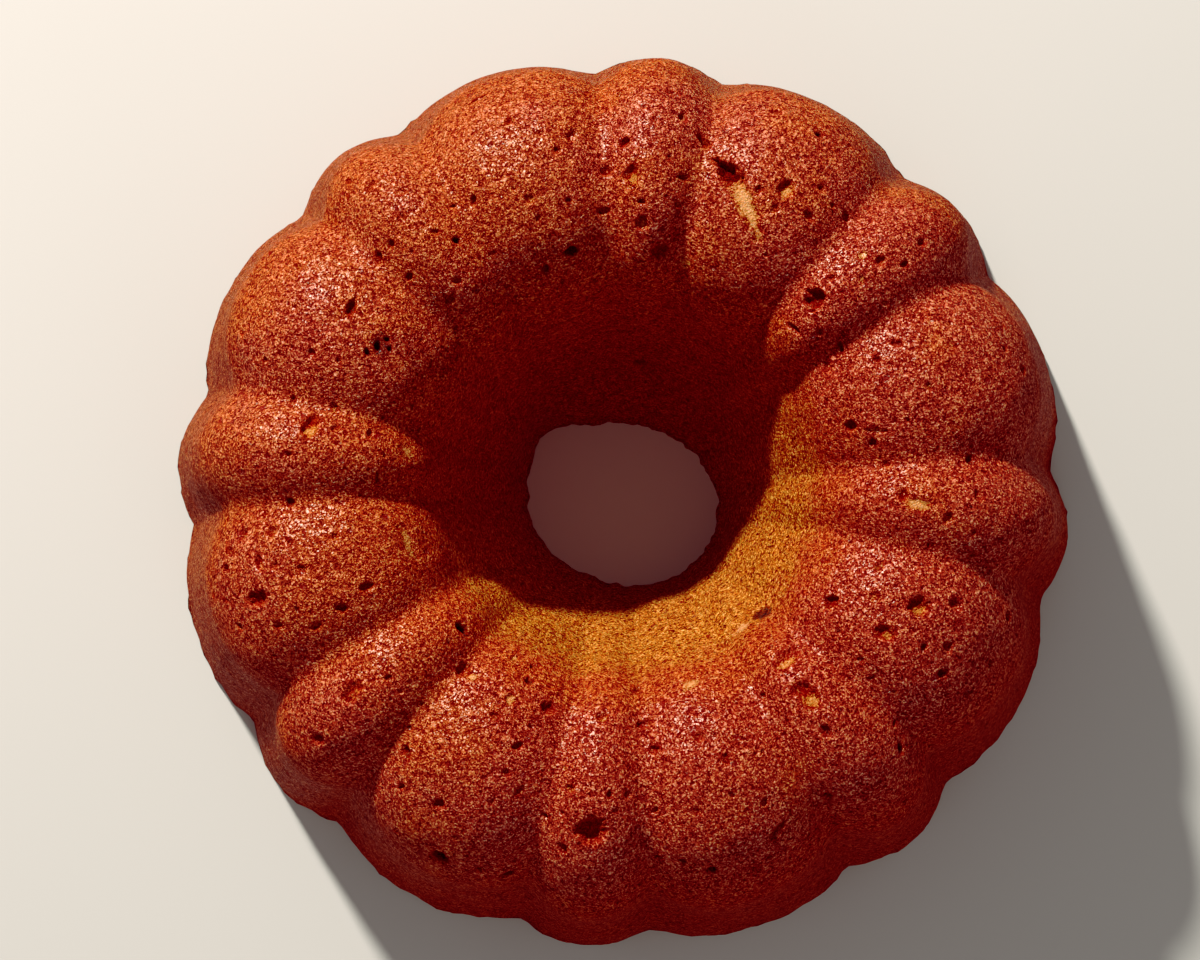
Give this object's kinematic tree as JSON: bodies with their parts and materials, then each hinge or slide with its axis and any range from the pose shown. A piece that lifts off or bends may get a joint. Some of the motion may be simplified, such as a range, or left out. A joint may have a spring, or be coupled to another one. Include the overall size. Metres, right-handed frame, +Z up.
{
  "type": "pumpkin ring cake",
  "caption": "Uncut fluted ring cake with broad lobes, narrow rounded ribs and a funnel-shaped centre hole, resting crown up on its flat base.",
  "frame": {"origin": "middle of the flat base, on the axis of the centre hole", "axes": "+Z up out of the crown, +X along the middle of one narrow rib"},
  "size_m": [0.2438, 0.2438, 0.088],
  "materials": {
    "crust": "browned cake crust with a faint oily sheen"
  },
  "bodies": {
    "root": {"cake": "crust"}
  },
  "joints": []
}
